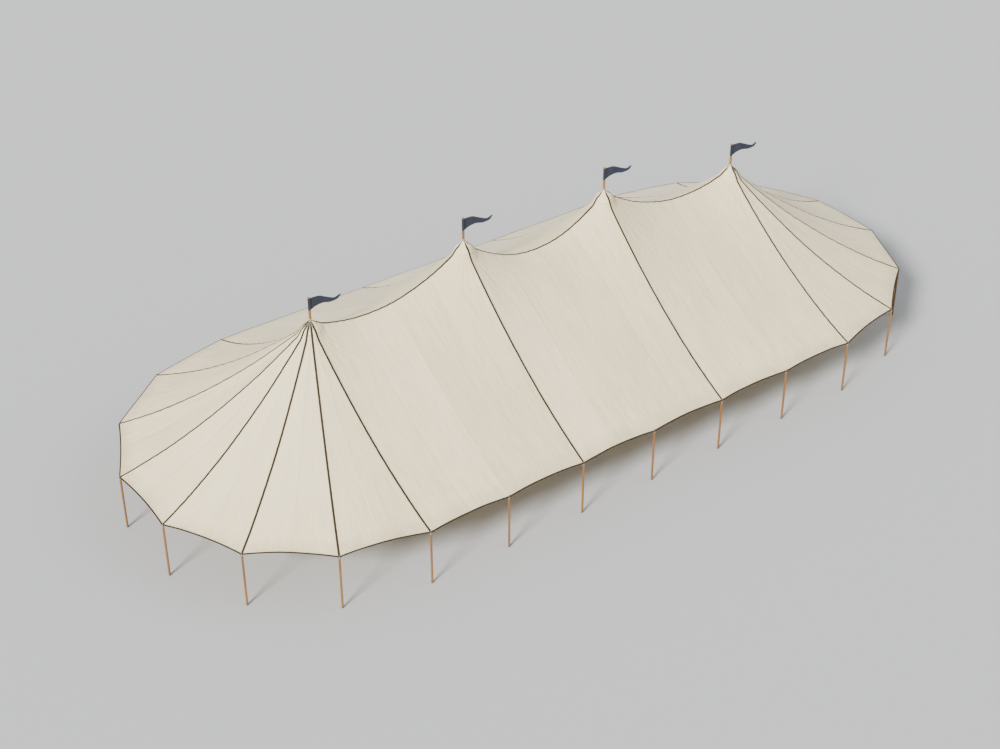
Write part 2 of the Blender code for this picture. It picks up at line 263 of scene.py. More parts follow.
def grid_faces(rows, columns, closed_rows=False, closed_columns=False):
    """Corners of the squares between neighbours. A closed direction joins its last line to its first."""
    row = np.arange(rows if closed_rows else rows - 1)[:, None]
    column = np.arange(columns if closed_columns else columns - 1)
    next_row, next_column = (row + 1) % rows * columns, (column + 1) % columns
    row = row * columns
    return table(row + column, next_row + column, next_row + next_column, row + next_column)


def outward(points, faces):
    """The volume is the sum over the faces of corner times the cross product of the next two. Below nothing,
    the faces point in and are turned over."""
    first, second, third, fourth = (points - points.mean(0))[faces].swapaxes(0, 1)
    volume = (first * np.cross(second, third)).sum() + (first * np.cross(third, fourth)).sum()
    return points, faces if volume > 0 else faces[:, ::-1]


def thickened(points, faces, moved):
    """A closed slab: the faces, the same at the moved points and turned over, and a wall along every edge
    that only one face has."""
    count = len(points)
    edges = np.stack([faces, np.roll(faces, -1, axis=1)], -1).reshape(-1, 2)
    unused, place, uses = np.unique(np.sort(edges, 1), axis=0, return_inverse=True, return_counts=True)
    start, end = edges[uses[place.reshape(-1)] == 1].T
    walls = np.stack([end, start, start + count, end + count], -1)
    return outward(np.concatenate([points, moved]), np.concatenate([faces, faces[:, ::-1] + count, walls]))


def stacked(parts):
    """Several (points, faces) pairs as one, with the later faces renumbered."""
    starts = np.cumsum([0] + [len(points) for points, faces in parts])
    return (np.concatenate([points for points, faces in parts]),
            np.concatenate([faces + start for (points, faces), start in zip(parts, starts)]))


print("a tube of 5 rings of 8 points has", len(grid_faces(5, 8, closed_columns=True)), "faces")

# %% Helpers that put a surface into the scene
def add_object(name, data):
    """Links a new object that holds a mesh, lamp or camera."""
    made = bpy.data.objects.new(name, data)
    bpy.context.scene.collection.objects.link(made)
    return made


def add_mesh(name, points, faces, finish):
    """An object with a new mesh of one finish."""
    mesh = bpy.data.meshes.new(name)
    mesh.from_pydata(points.tolist(), [], faces.tolist())
    mesh.materials.append(finish)
    return add_object(name, mesh)


def add_piece(name, surface, finish, slot, body="tent", crease=40.0, uv=None, **numbers):
    """A smooth piece that rides on a body. Edges sharper than the crease stay sharp. A material may read the
    UV map, in metres, and the numbers by their names. All are given point by point."""
    piece = add_mesh(name, *surface, finish)
    mesh = piece.data
    mesh.shade_smooth()
    mesh.set_sharp_from_angle(angle=math.radians(crease))
    if uv is not None:
        corners = np.zeros(len(mesh.loops), np.int32)
        mesh.loops.foreach_get("vertex_index", corners)
        mesh.uv_layers.new(name="metres").data.foreach_set("uv", uv[corners].astype(np.float32).ravel())
    for word, values in numbers.items():
        kind, key = ("FLOAT", "value") if values.ndim == 1 else ("FLOAT_VECTOR", "vector")
        layer = mesh.attributes.new(word, kind, "POINT")
        layer.data.foreach_set(key, values.astype(np.float32).ravel())
    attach(piece, body)
    print(name, len(mesh.polygons), "faces")
    return piece


# %% [markdown]
# Finishes are built from nodes. One function adds a node with its settings and links, so a material reads as
# a list of steps. Colours are the sRGB hex values that a paint chart would show, turned to linear light.

# %% The function that turns colours linear, and the one that adds a node
def linear(code):
    """sRGB hex to linear light: divide by 12.92 when dark, or else the 2.4 power of the offset value."""
    parts = [int(code[place:place + 2], 16) / 255 for place in (1, 3, 5)]
    return (*[part / 12.92 if part <= 0.04045 else ((part + 0.055) / 1.055) ** 2.4 for part in parts], 1.0)


def new_material(name, finish, *wishes):
    """A material whose shader comes from a finish, a function that is handed the one that adds a node."""
    made = bpy.data.materials.new(name)
    made.use_nodes = True
    tree = made.node_tree
    tree.nodes.clear()

    def add(kind, *inputs, output=None, **settings):
        """Adds a node and gives its first output, or the named one. A kind in capitals is an operation of the
        Math node, and a Mix mixes colours. Inputs fill the sockets in order, and a keyword the property or
        else the input of its name. A socket is linked, and a hex colour turned linear."""
        if kind.isupper():
            kind, settings["operation"] = "Math", kind
        if kind == "Mix":
            settings["data_type"] = "RGBA"
        node = tree.nodes.new("ShaderNode" + kind)
        for key in [key for key in settings if key in node.bl_rna.properties]:
            setattr(node, key, settings.pop(key))
        pairs = list(zip([socket for socket in node.inputs if socket.enabled], inputs))
        pairs += [(node.inputs[key.replace("_", " ")], value) for key, value in settings.items()]
        for socket, value in pairs:
            if isinstance(value, bpy.types.NodeSocket):
                tree.links.new(value, socket)
            else:
                socket.default_value = linear(value) if isinstance(value, str) else value
        outputs = [socket for socket in node.outputs if socket.enabled] or [None]
        return node.outputs[output] if output else outputs[0]

    add("OutputMaterial", finish(add, *wishes))
    print(name, len(tree.nodes), "nodes")
    return made


# %% Patterns that several finishes share
def off_line(add, count):
    """How far a count is from the nearest whole number: the fraction of it and a half, less a half."""
    return add("SUBTRACT", add("FRACT", add("ADD", count, 0.5)), 0.5)


def waves(add, run, pitch):
    """The sine of the run, with a whole turn for each pitch."""
    return add("SINE", add("MULTIPLY", run, math.tau / pitch))


def stitches(add, rows, half_width, run, pitch, low, faint):
    """Each row, a distance and its place in it, is 1 within half its width and 0 a millimetre further off.
    Between the crests of waves along the run the thread dips into the cloth and turns faint."""
    sewn = 0.0
    for distance, place in rows:
        off = add("ABSOLUTE", add("SUBTRACT", distance, place))
        sewn = add("MAXIMUM", sewn, add("MapRange", off, half_width, half_width + 0.001, 1.0, 0.0))
    return add("MULTIPLY", sewn, add("MapRange", waves(add, run, pitch), low, low + 0.4, faint, 1.0))


# %% [markdown]
# Sailcloth is a tightly woven polyester, warm white and a little see-through, so the sun glows in it from
# below. Its panels are about 1.5 m wide and joined by flat double seams. Where a pin holds the cloth, a patch
# with five fingers spreads the load like a hand. Double cloth lets less light through, so seams, hems and
# patches read as soft shapes, and their colour is painted darker as painted shade for that light. They could
# be painted or modelled, but a patch is only as thick as the cloth, so here they are worked out from the
# place on the tent and stay sharp at any distance.

# %% Places on the cloth
PANELS_PER_SECTION = 4
PANEL_SHIFT = 101.0           # odd, so that every second seam meets a pin, and keeps the count above nothing


def cloth_places(add, in_end):
    """Distance across from the nearest panel seam, distance along it, the panel's number, and the distances
    across and inwards from the nearest pin. In an end the panels are rays, two to a bay."""
    x, y, unused = add("SeparateXYZ", add("TexCoord", output="Object")).node.outputs
    if in_end:
        beyond = add("SUBTRACT", add("ABSOLUTE", x), PEAK_X[-1])
        along = add("VectorMath", add("CombineXYZ", beyond, y, 0.0), operation="LENGTH", output="Value")
        steps = add("MULTIPLY_ADD", add("ARCTAN2", y, beyond), 2 / SECTOR, PANEL_SHIFT)
        width = add("MULTIPLY", along, SECTOR / 2)
        off_pin = add("MULTIPLY", off_line(add, add("MULTIPLY", steps, 0.5)), SECTOR)
        pin_across = add("MULTIPLY", along, add("SINE", off_pin))
        reach = add("MULTIPLY", along, add("COSINE", off_pin))
    else:
        along = y
        width = SPACING / PANELS_PER_SECTION
        steps = add("DIVIDE", add("SUBTRACT", x, PEAK_X[0]), width)
        pin_across = add("MULTIPLY", off_line(add, add("MULTIPLY", steps, 0.5)), 2 * width)
        reach = add("ABSOLUTE", y)
    across = add("MULTIPLY", off_line(add, steps), width)
    return across, along, add("FLOOR", steps), pin_across, add("SUBTRACT", HALF_WIDTH, reach)


# %% Outline of a pin's patch
PATCH_HALF_TURN = math.radians(72)
PATCH_FINGERS = 5
PATCH_PALM = 0.24
PATCH_REACH = 0.47


def patch_edge(add, across, inward):
    """Distance inside the outline, which reaches a palm's length, and further along each finger by the size
    of the cosine of the direction times half the number of fingers. Its two sides are straight."""
    reach = add("VectorMath", add("CombineXYZ", across, inward, 0.0), operation="LENGTH", output="Value")
    turn = add("ARCTAN2", across, inward)
    wave = add("MULTIPLY", turn, PATCH_FINGERS * math.pi / 2 / PATCH_HALF_TURN)
    outline = add("MULTIPLY_ADD", add("ABSOLUTE", add("COSINE", wave)), PATCH_REACH - PATCH_PALM, PATCH_PALM)
    side = add("SUBTRACT", PATCH_HALF_TURN, add("ABSOLUTE", turn))
    return add("MINIMUM", add("SUBTRACT", outline, reach), add("MULTIPLY", side, reach))


# %% Where the cloth lies double
PANEL_SEAM = (0.019, 0.012)   # how far the double cloth reaches, and the place of its row of stitches
HEM = (0.10, 0.088)
JOIN = (0.075, 0.063)
EDGE_ROWS = (0.010, 0.022)
PATCH_LAYER = 0.8


def double_cloth(add, across, pin_across, pin_inward):
    """Layers, 1 in every strip and more in a patch, the rows of stitches, and the distance from the eave."""
    patch = patch_edge(add, pin_across, pin_inward)
    seam, eave = [add("Attribute", attribute_name=name, output="Fac") for name in ("seam", "eave")]
    rows = [(patch, place) for place in EDGE_ROWS]
    layers = 0.0
    for distance, (limit, place) in ((add("ABSOLUTE", across), PANEL_SEAM), (eave, HEM), (seam, JOIN)):
        layers = add("MAXIMUM", layers, add("MapRange", distance, limit, limit + 0.002, 1.0, 0.0))
        rows.append((distance, place))
    return add("ADD", add("MapRange", patch, 0.0, 0.002, 0.0, PATCH_LAYER), layers), rows, eave


# %% Woven sailcloth
CLOTH_COLOUR = "#F4E7C8"
CLOTH_SHADE = "#D6C8A0"
CLOTH_EAVE_DARK = "#9A8C68"
STITCH_COLOUR = "#85754C"
THREAD_PITCH = 0.004          # about eight times as coarse as the real half millimetre, so that it shows
STITCH_HALF_WIDTH = 0.0015
STITCH_LENGTH = 0.007
FOLD_PITCH = 1.15
FOLD_HALF_WIDTH = 0.018
SEE_THROUGH = 0.36
DOUBLE_LOSS = 0.15


def sailcloth(add, in_end, doubled=False):
    """Panels of slightly different tone, double cloth painted darker as painted shade, stitches, weave,
    soft creases and storage folds, with faint rain streaks down each panel and a darker, cloudy band along
    the eave. A doubled piece is one strip with its own edge."""
    across, along, number, pin_across, pin_inward = cloth_places(add, in_end)
    panel = add("CombineXYZ", across, along, number)
    cloud = add("TexNoise", panel, Scale=0.8, Detail=5.0, Roughness=0.6)
    if doubled:
        rows = [(add("Attribute", attribute_name="edge", output="Fac"), place) for place in EDGE_ROWS]
        layers, eave_darkening, through = 1.0, 0.0, SEE_THROUGH - DOUBLE_LOSS
    else:
        layers, rows, eave = double_cloth(add, across, pin_across, pin_inward)
        # Darker in clouds near the eave, most at the edge and gone about half a metre in.
        eave_darkening = add("MULTIPLY", cloud, add("MapRange", eave, 0.05, 0.55, 0.45, 0.0))
        through = add("MULTIPLY_ADD", layers, -DOUBLE_LOSS, SEE_THROUGH)
    sewn = stitches(add, rows, STITCH_HALF_WIDTH, add("ADD", along, across), STITCH_LENGTH, -0.6, 0.35)
    streak = add("Mapping", panel, Scale=(9.0, 0.45, 3.0))
    streak = add("TexNoise", streak, Scale=1.0, Detail=4.0, Roughness=0.55)
    shade = add("MULTIPLY_ADD", add("TexWhiteNoise", number, noise_dimensions="1D"), 0.30,
                add("MapRange", streak, 0.45, 0.75, 0.0, 0.3))
    shade = add("MULTIPLY_ADD", cloud, 0.45, shade, use_clamp=True)
    colour = CLOTH_COLOUR
    # The double cloth is painted darker: painted shade for the light that it holds back.
    for share, other in ((shade, CLOTH_SHADE), (add("MULTIPLY", layers, 0.50), CLOTH_SHADE),
                         (eave_darkening, CLOTH_EAVE_DARK), (add("MULTIPLY", sewn, 0.85), STITCH_COLOUR)):
        colour = add("Mix", share, colour, other)
    crease = add("Mapping", panel, Scale=(2.6, 1.5, 1.0))
    crease = add("TexNoise", crease, Scale=1.0, Detail=7.0, Roughness=0.55, Distortion=0.7)
    fold = add("ABSOLUTE", off_line(add, add("MULTIPLY", along, 1 / FOLD_PITCH)))
    fold = add("MapRange", fold, 0.0, FOLD_HALF_WIDTH, 1.0, 0.0, interpolation_type="SMOOTHSTEP")
    weave = add("MULTIPLY", waves(add, across, THREAD_PITCH), waves(add, along, THREAD_PITCH))
    height = add("MULTIPLY", crease, 0.034)
    for part, depth in ((weave, 0.0001), (fold, 0.0012), (layers, 0.0012), (sewn, -0.0009)):
        height = add("MULTIPLY_ADD", part, depth, height)
    normal = add("Bump", Strength=0.85, Distance=1.0, Height=height)
    front = add("BsdfPrincipled", Base_Color=colour, Roughness=0.68, Normal=normal, Sheen_Weight=0.12,
                Sheen_Roughness=0.5, Specular_IOR_Level=0.35)
    return add("MixShader", through, front, add("BsdfTranslucent", colour, normal))


sailcloth_end = new_material("woven_sailcloth_end", sailcloth, True)
sailcloth_middle = new_material("woven_sailcloth_middle", sailcloth, False)
sailcloth_strip = new_material("doubled_sailcloth", sailcloth, False, True)

# %% [markdown]
# The load-bearing seams and the eave are covered with polyester webbing, a flat band woven in a herringbone.
# It is brown, so the seams draw dark lines on the pale tent. The weave is drawn in the band's own lengths and
# widths, from a UV map in metres.

# %% Woven webbing
WEBBING_COLOUR = "#342717"
WEBBING_DARK = "#1B140B"
RIB_PITCH = 0.005             # about twice as coarse as real ribs
RIB_TURN = 0.015


def webbing(add):
    """Slanting ribs that turn back at the band's middle, painted shade in the grooves, faded in patches."""
    place = add("UVMap", uv_map="metres")
    u, v, unused = add("SeparateXYZ", place).node.outputs
    rib = waves(add, add("ADD", v, add("PINGPONG", u, RIB_TURN)), RIB_PITCH)
    fade = add("TexNoise", place, Scale=2.5, Detail=5.0, Roughness=0.65)
    colour = add("Mix", fade, WEBBING_COLOUR, WEBBING_DARK)
    # Painted shade: the grooves between the ribs are painted darker.
    colour = add("Mix", add("MapRange", rib, -1.0, 0.4, 0.55, 0.0), colour, WEBBING_DARK)
    normal = add("Bump", Strength=0.7, Distance=0.0005, Height=rib)
    return add("BsdfPrincipled", Base_Color=colour, Roughness=0.78, Normal=normal, Specular_IOR_Level=0.3)


webbing_finish = new_material("woven_polyester_webbing", webbing)

# %% [markdown]
# The poles are turned from whole softwood stems and varnished. Their surface cuts the growth rings nearly
# along the grain, which draws long streaks and flat arches, with a knot here and there. The rings could be a
# picture, but the distance from a bent line, cut into slices, gives real rings that run on round the pole.

# %% Varnished softwood
WOOD_PALE = "#8C6128"
WOOD_LATE = "#4C2B0D"
WOOD_KNOT = "#2E190B"
WOOD_GREY = "#524A3F"
RING_WIDTH = 0.006
HEART_OFFSET = (0.036, 0.014, 0.0)


def varnished_wood(add):
    """Distance from the stem's heart, bent by noise and cut into rings that darken outwards. Fine pores and
    stretched knots lie over them, some lengths are darker, and the foot is greyed by wet."""
    place = add("Attribute", attribute_name="grain", output="Vector")
    bend = add("Mapping", place, Scale=(5.0, 5.0, 1.1))
    bend = add("TexNoise", bend, Scale=1.0, Detail=3.0, Roughness=0.45)
    flat = add("Mapping", place, Location=HEART_OFFSET, Scale=(1.0, 1.0, 0.0))
    distance = add("VectorMath", flat, operation="LENGTH", output="Value")
    ring = add("DIVIDE", add("MULTIPLY_ADD", bend, 0.085, distance), RING_WIDTH)
    late = add("POWER", add("FRACT", ring), 2.2)
    pore = add("TexNoise", add("Mapping", place, Scale=(420.0, 420.0, 12.0)), Scale=1.0, Detail=2.0)
    blush = add("TexNoise", add("Mapping", place, Scale=(9.0, 9.0, 0.7)), Scale=1.0, Detail=2.0)
    knot = add("TexVoronoi", add("Mapping", place, Scale=(11.0, 11.0, 3.0)), Scale=1.0)
    tint = add("MULTIPLY_ADD", late, 0.62, add("MapRange", blush, 0.35, 0.7, 0.0, 0.35))
    tint = add("ADD", add("MapRange", pore, 0.45, 0.7, 0.0, 0.4), tint, use_clamp=True)
    height = add("SeparateXYZ", add("TexCoord", output="Object")).node.outputs[2]
    wet = add("SUBTRACT", height, add("MULTIPLY", blush, 0.25))
    wet = add("MapRange", wet, -0.10, 0.12, 0.75, 0.0)
    colour = add("Mix", tint, WOOD_PALE, WOOD_LATE)
    colour = add("Mix", add("MapRange", knot, 0.05, 0.17, 0.85, 0.0), colour, WOOD_KNOT)
    colour = add("Mix", wet, colour, WOOD_GREY)
    rough = add("MapRange", wet, 0.0, 0.75, 0.38, 0.75)
    normal = add("Bump", Strength=0.4, Distance=0.0008, Height=add("MULTIPLY_ADD", late, 0.5, pore))
    return add("BsdfPrincipled", Base_Color=colour, Roughness=rough, Normal=normal, Coat_Weight=0.3,
               Coat_Roughness=0.25)


wood_finish = new_material("varnished_softwood", varnished_wood)

# %% [markdown]
# Ferrules, pins and rings are steel dipped in zinc, which sets in dull flat crystals. The eyelets are rolled
# brass. One recipe serves for both metals, with other colours and another roughness.

# %% Zinc-dipped steel and rolled brass
def metal(add, colour, dull, roughness, crystal):
    """Crystals of the given width, each a little lighter or darker, under cloudy tarnish."""
    place = add("TexCoord", output="Object")
    grains = add("SeparateXYZ", add("TexVoronoi", place, Scale=1 / crystal, output="Color"))
    tarnish = add("MULTIPLY", add("TexNoise", place, Scale=35.0, Detail=4.0), 0.5)
    both = add("MULTIPLY_ADD", grains, 0.45, tarnish)
    rough = add("MULTIPLY_ADD", both, 0.22, roughness - 0.08)
    return add("BsdfPrincipled", Base_Color=add("Mix", both, colour, dull), Metallic=1.0, Roughness=rough)


steel_finish = new_material("zinc_dipped_steel", metal, "#B4B8BB", "#767C80", 0.42, 0.008)
brass_finish = new_material("rolled_brass", metal, "#CFA95E", "#93733A", 0.34, 0.004)

# %% [markdown]
# The pennants are bunting, a light open weave dyed dark blue. Sun has bleached it a little in clouds, its
# hems are double, and the light shows through the single cloth between them. The hems are also painted
# darker, as painted shade for the light they hold back.

# %% Dyed bunting
BUNTING_COLOUR = "#15203D"
BUNTING_SHADE = "#0B1122"
BUNTING_STITCH = "#4A5878"
BUNTING_THREAD = 0.003        # about six times as coarse as the real thread


def bunting(add):
    """Plain weave along the cloth's own u and v, double hems in painted shade with a row of stitches, and
    bleached clouds.
    """
    u, v, unused = add("SeparateXYZ", add("UVMap", uv_map="metres")).node.outputs
    edge = add("Attribute", attribute_name="edge", output="Fac")
    hem = add("MapRange", edge, 0.016, 0.017, 1.0, 0.0)
    sewn = stitches(add, [(edge, 0.012)], 0.0006, u, 0.004, -0.4, 0.2)
    fade = add("TexNoise", add("TexCoord", output="Object"), Scale=6.0, Detail=4.0)
    colour = add("Mix", fade, BUNTING_COLOUR, BUNTING_SHADE)
    # Painted shade: the double hems are painted darker.
    colour = add("Mix", add("MULTIPLY", hem, 0.6), colour, BUNTING_SHADE)
    colour = add("Mix", sewn, colour, BUNTING_STITCH)
    weave = add("MULTIPLY", waves(add, u, BUNTING_THREAD), waves(add, v, BUNTING_THREAD))
    normal = add("Bump", Strength=0.5, Distance=0.0004, Height=add("MULTIPLY_ADD", hem, 1.5, weave))
    front = add("BsdfPrincipled", Base_Color=colour, Roughness=0.75, Normal=normal, Sheen_Weight=0.2)
    through = add("MULTIPLY_ADD", hem, -0.15, 0.3)
    return add("MixShader", through, front, add("BsdfTranslucent", colour, normal))


bunting_finish = new_material("dyed_bunting", bunting)

# %% [markdown]
# The canopy comes in five sections, joined where the seams run straight across the tent. A section's cloth is
# made of fans of rays that leave a peak and end on the eave, or halfway to the next peak. Rays and steps make
# a grid, and the curves above give each point its height. The rays crowd together beside the seams, where the
# cloth puckers.

# %% The plan of the canopy's edge and rays
RAY_STEPS = 108
STEP_GROWTH = 1.15
BAY_STEPS = 26
MIDLINE_STEPS = 26
HOLE_STEPS = np.array([0.050, 0.080])


def along_bays(bays):
    """Counts from 0 to the number of bays, and their fractions: half less half the cosine of the half turn,
    so that they crowd at the poles."""
    crowded = (1 - np.cos(np.linspace(0, math.pi, BAY_STEPS + 1))) / 2
    count = np.append((np.arange(bays)[:, None] + crowded[:-1]).ravel(), bays)
    return count, np.mod(count, 1.0)


def end_eave(side):
    """Eave of an end: the bay's reach over a half turn about the peak."""
    count, share = along_bays(END_BAYS)
    reach = bay_reach(share, (share - 0.5) * SECTOR)
    return side * table(*spot(PEAK_PLACES[-1], reach, SECTOR * count - math.pi / 2))


def side_eave(section, side):
    """Eave of a middle section: the side's reach along its two bays."""
    count, share = along_bays(2)
    return table(PEAK_X[section] + count * SPACING / 2, side * side_reach(share))


def ray_reaches(length):
    """Steps from the crown's hole to the far point, growing longer as a power of their share."""
    share = (np.arange(RAY_STEPS + 1) / RAY_STEPS) ** STEP_GROWTH
    growing = CROWN_RADIUS + (length - CROWN_RADIUS) * share
    return np.concatenate([HOLE_STEPS * np.ones_like(length), growing], -1)


def fan(place, rims):
    """Points on the cloth along the rays from a peak to its far points."""
    length, turn = polar(rims[:, :1], rims[:, 1:], place)
    x, y = spot(place, ray_reaches(length), turn)
    return table(x, y, cloth_top(x, y)), grid_faces(*x.shape)


def quarter_rims(peak_number, toward, side):
    """Far points along the halfway line and then along the eave, back to the seam straight across."""
    line = (HALF_WIDTH + EAVE_MARGIN) * np.linspace(0.0, 1.0, MIDLINE_STEPS + 1)[:-1] ** STEP_GROWTH
    eave = side_eave(peak_number if toward > 0 else peak_number - 1, side)
    eave = eave[BAY_STEPS::-1] if toward > 0 else eave[BAY_STEPS:]
    return np.concatenate([table(PEAK_X[peak_number] + toward * SPACING / 2, side * line), eave])


print("far points of an end", len(end_eave(1)), "and of a quarter section", len(quarter_rims(0, 1, 1)))

# %% Cut and lay the five sections
SAME_POINT = 1e-5


def lay_section(part, fans, finish):
    """Welds points that lie together, turns up the faces whose diagonals' cross product points down, and
    gives the sheet its thickness. It is cloth that rests on the poles and rings below it."""
    points, faces = stacked(fans)
    unused, first, place = np.unique(np.round(points / SAME_POINT).astype(np.int64), axis=0,
                                     return_index=True, return_inverse=True)
    points, faces = points[first], place.reshape(-1)[faces]
    corners = points[faces]
    up = np.cross(corners[:, 2] - corners[:, 0], corners[:, 3] - corners[:, 1])[:, 2:] > 0
    solid = thickened(points, np.where(up, faces, faces[:, ::-1]), points - [0.0, 0.0, CLOTH_THICKNESS])
    x, y, unused = solid[0].T
    eave, seam = eave_and_seam(x, y)
    piece = add_piece(f"{part}_cloth", solid, finish, "sailcloth", crease=60.0, eave=eave, seam=seam)
    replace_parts(piece, f"canopy_{part}")
    below = zip(SIDE_NAMES + RING_NAMES, [*SIDE_PLACES[:, 0], *PEAK_X])
    carried_by = [name for name, along in below if x.min() - 0.01 <= along <= x.max() + 0.01]


for number, side, part in ((0, -1, "left_end"), (-1, 1, "right_end")):
    lay_section(part, [fan(PEAK_PLACES[number], end_eave(side))], sailcloth_end)
for section in range(CENTRE_POLES - 1):
    fans = [fan(PEAK_PLACES[number], quarter_rims(number, toward, side))
            for number, toward in ((section, 1), (section + 1, -1)) for side in (-1, 1)]
    lay_section(f"middle_{section + 1}", fans, sailcloth_middle)

# %% [markdown]
# Webbing carries the load along each seam, from the crown to the eave, and along the ridge. On the real tent
# it is sewn to the cloth, above and below. Each band is a ribbon: a path on the plan, widened sideways and
# laid on the cloth's curve, with its other face sunk into the cloth so that no gap shows.

# %% Ribbons on the cloth
WEBBING_WIDTH = 0.075
WEBBING_RISE = 0.0034
SUNK = 0.0008
RIBBON_PLACES = np.array([-0.5, -0.47, -0.36, -0.24, -0.12, 0.0, 0.12, 0.24, 0.36, 0.47, 0.5])
EDGE_RISE = 0.3


def run_along(path):
    """Distance along a path at each of its points: the running sum of the steps' lengths."""
    return np.append(0.0, np.cumsum(np.linalg.norm(np.diff(path, axis=0), axis=1)))


def beside(path, along, across):
    """Places beside a path: the path plus the normal of its direction, on the plan, times the way across."""
    along = along / np.linalg.norm(along, axis=1)[:, None]
    return path[:, :1] - along[:, 1:] * across, path[:, 1:] + along[:, :1] * across


def ribbon(path, width=WEBBING_WIDTH, rise=WEBBING_RISE, below_cloth=False, ground=cloth_top):
    """Rises above the ground, less at its two edges, or hangs from the cloth's underside. Gives the surface,
    and each point's places across and along, and distance from the edge."""
    width = np.broadcast_to(width, len(path))[:, None]
    across = RIBBON_PLACES * width
    x, y = beside(path, np.gradient(path, axis=0), across)
    way = -1 if below_cloth else 1
    height = ground(x, y) - CLOTH_THICKNESS * below_cloth
    outer = height + way * rise * np.where(np.abs(RIBBON_PLACES) < 0.5, 1.0, EDGE_RISE)
    surface = thickened(table(x, y, outer), grid_faces(*x.shape), table(x, y, height - way * SUNK))
    edge = (width / 2 - np.abs(across)).ravel()
    return surface, np.tile(table(across, run_along(path)[:, None]), (2, 1)), np.tile(edge, 2)


def add_ribbons(name, ribbons, finish):
    """Several ribbons as one piece."""
    surfaces, uvs, edges = zip(*ribbons)
    uv, edge = np.concatenate(uvs), np.concatenate(edges)
    add_piece(name, stacked(surfaces), finish, "sailcloth", uv=uv, edge=edge)


# %% Webbing on the seams and flaps over the joints
FLAP_WIDTH = 0.16
FLAP_RISE = 0.0018
FLAP_STOP = 0.034
LINING_ENDS = {"start": 0.19, "stop": 0.12}
RAY_TURNS = SECTOR * np.arange(1, END_BAYS) - math.pi / 2
END_TURNS = {0: math.pi - RAY_TURNS, CENTRE_POLES - 1: RAY_TURNS}
ACROSS_TURNS = (-math.pi / 2, math.pi / 2)


def ray_path(number, turn, length=HALF_WIDTH + EAVE_MARGIN, start=0.15, stop=0.004):
    """Steps from a peak, the same as the cloth's own, from the start to a little short of the far point."""
    reaches = ray_reaches(np.array([length]))
    reaches = [start, *reaches[(reaches > start) & (reaches < length - stop)], length - stop]
    return table(*spot(PEAK_PLACES[number], np.array(reaches), turn))


def seam_paths(**ends):
    """Rays of both ends, lines straight across at each peak, and the two halves of each ridge joined."""
    rays = [ray_path(number, turn, **ends) for number, turns in END_TURNS.items() for turn in turns]
    across = [ray_path(number, turn, **ends) for number in range(CENTRE_POLES) for turn in ACROSS_TURNS]
    ridges = [np.concatenate([ray_path(number, 0.0, SPACING / 2, stop=0.0)[:-1],
                              ray_path(number + 1, math.pi, SPACING / 2, stop=0.0)[::-1]])
              for number in range(CENTRE_POLES - 1)]
    return rays, across, ridges


flaps = [ribbon(path, FLAP_WIDTH, FLAP_RISE) for path in seam_paths(stop=FLAP_STOP)[1]]
add_ribbons("joint_flaps", flaps, sailcloth_strip)
for word, paths in zip(("end_seam", "joint", "ridge"), seam_paths()):
    add_ribbons(f"{word}_webbing", [ribbon(path) for path in paths], webbing_finish)
lining = [ribbon(path, below_cloth=True) for paths in seam_paths(**LINING_ENDS) for path in paths]
add_ribbons("lining_webbing", lining, webbing_finish)

# %% [markdown]
# The eave is bound: a band of webbing is folded over the cloth's edge with a bolt rope inside it, so the edge
# is round and thick. A profile with that outline is carried once round the tent, along the scalloped edge.

# %% The bound eave
BINDING_DEPTH = 0.044
BINDING_RISE = 0.0040
BOLT_RADIUS = 0.0085
BOLT_INSET = 0.004
BOLT_TURN = math.pi * 0.42


def binding_profile():
    """Outward place and height above the cloth: out over the top band, round the rope, and back below."""
    turn = np.linspace(BOLT_TURN, -BOLT_TURN, 9)
    rope = table(*spot((-BOLT_INSET, -CLOTH_THICKNESS / 2), BOLT_RADIUS, turn))
    top = np.array([(-BINDING_DEPTH, 0.0006), (-BINDING_DEPTH + 0.001, BINDING_RISE), (-0.014, BINDING_RISE)])
    return np.concatenate([top, rope, top[::-1] * [1.0, -1.0] - [0.0, CLOTH_THICKNESS]])


sections = range(CENTRE_POLES - 1)
loop = np.concatenate([end_eave(-1)[:-1], *[side_eave(section, -1)[:-1] for section in sections],
                       end_eave(1)[:-1], *[side_eave(section, 1)[:0:-1] for section in reversed(sections)]])
profile = binding_profile()
x, y = beside(loop, np.roll(loop, -1, axis=0) - np.roll(loop, 1, axis=0), -profile[:, 0])
faces = grid_faces(*x.shape, closed_rows=True, closed_columns=True)
binding = outward(table(x, y, cloth_top(x, y) + profile[:, 1]), faces)
add_piece("eave_binding", binding, webbing_finish, "sailcloth",
          uv=table(run_along(profile), run_along(loop)[:, None]))
print("eave", round(float(run_along(loop)[-1]), 2), "m round")

# %% [markdown]
# Poles are turned from straight softwood. The construction's poles have few sides, so finer ones stand in
# their place with the same radii. A turned piece is a profile of radius and height carried round a circle.

# %% Turned pieces
POLE_SIDES = 40
GRAIN_SHIFT = 7.3


def turned(profile, sides, place, closed=False):
    """The profile's radius times cosine and sine, round the place. Squares that share a point on the axis
    close each end, unless the profile is a closed loop."""
    profile = np.asarray(profile, float)
    turn = np.arange(sides) * math.tau / sides
    points = table(*spot(place, profile[:, :1], turn), profile[:, 1:])
    faces = grid_faces(len(profile), sides, closed_rows=closed, closed_columns=True)
    if not closed:
        count, first = len(points), np.arange(0, sides, 2)
        fanned = np.stack([first, first + 1, (first + 2) % sides], -1)
        bottom = np.insert(fanned, 0, count, axis=1)
        top = np.insert(fanned[:, ::-1] + count - sides, 0, count + 1, axis=1)
        points = np.concatenate([points, table(*place, profile[[0, -1], 1])])
        faces = np.concatenate([faces, bottom, top])
    return outward(points, faces)


